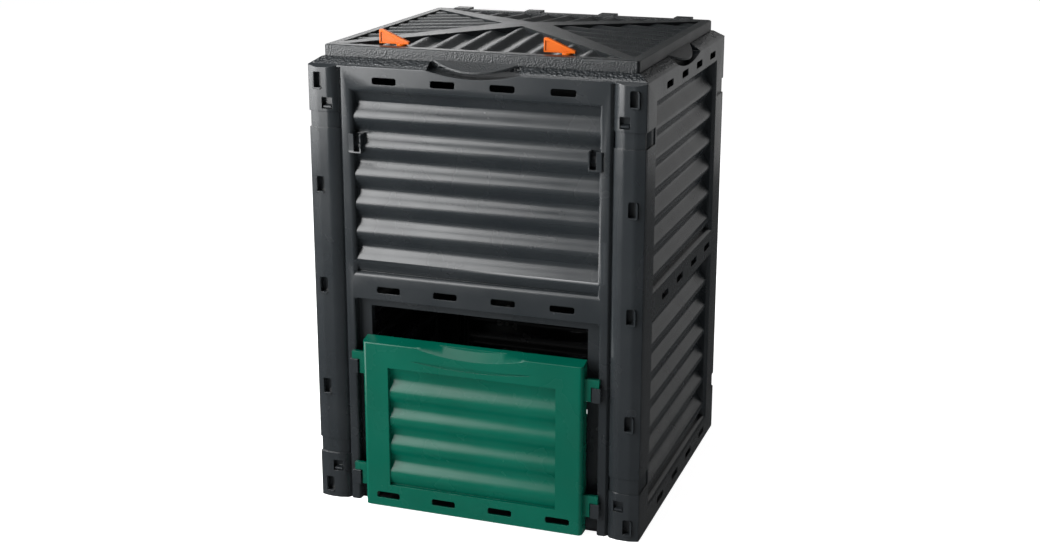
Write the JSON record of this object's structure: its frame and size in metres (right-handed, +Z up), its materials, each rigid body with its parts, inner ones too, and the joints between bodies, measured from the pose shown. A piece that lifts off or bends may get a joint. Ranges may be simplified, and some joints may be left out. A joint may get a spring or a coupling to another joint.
{
  "type": "garden compost bin",
  "caption": "Square plastic garden composter with ribbed snap-together walls, a hinged lid with turn latches and a lift-off discharge door.",
  "frame": {"origin": "on the ground, in the middle of the bin's overall width and depth", "axes": "+Z up; +Y from the discharge door at the front to the back; +X to the right seen from the front"},
  "size_m": [0.6, 0.588, 0.8528],
  "materials": {
    "wall_plastic": "satin moulded black polypropylene",
    "lid_plastic": "fine grained matt black polypropylene",
    "door_plastic": "satin moulded green polypropylene",
    "latch_plastic": "smooth orange plastic"
  },
  "bodies": {
    "root": {"front_wall": "wall_plastic", "back_wall": "wall_plastic", "left_wall": "wall_plastic", "right_wall": "wall_plastic"},
    "lid": {"lid": "lid_plastic"},
    "door": {"discharge_door": "door_plastic"},
    "latch_left": {"latch_handle_left": "latch_plastic", "latch_cam_left": "lid_plastic"},
    "latch_right": {"latch_handle_right": "latch_plastic", "latch_cam_right": "lid_plastic"}
  },
  "joints": [
    {"name": "lid_hinge", "type": "hinge", "parent": "root", "child": "lid", "pos_m": [0, 0.276, 0.817], "axis": [-1, 0, 0], "range_deg": [0, 105]},
    {"name": "door_lift", "type": "slide", "parent": "root", "child": "door", "axis": [0, 0, 1], "range_m": [0, 0.045]},
    {"name": "latch_left_turn", "type": "hinge", "parent": "lid", "child": "latch_left", "pos_m": [-0.148, -0.22, 0.81], "axis": [0, 0, 1], "range_deg": [0, 90]},
    {"name": "latch_right_turn", "type": "hinge", "parent": "lid", "child": "latch_right", "pos_m": [0.148, -0.22, 0.81], "axis": [0, 0, 1], "range_deg": [0, 90]}
  ]
}
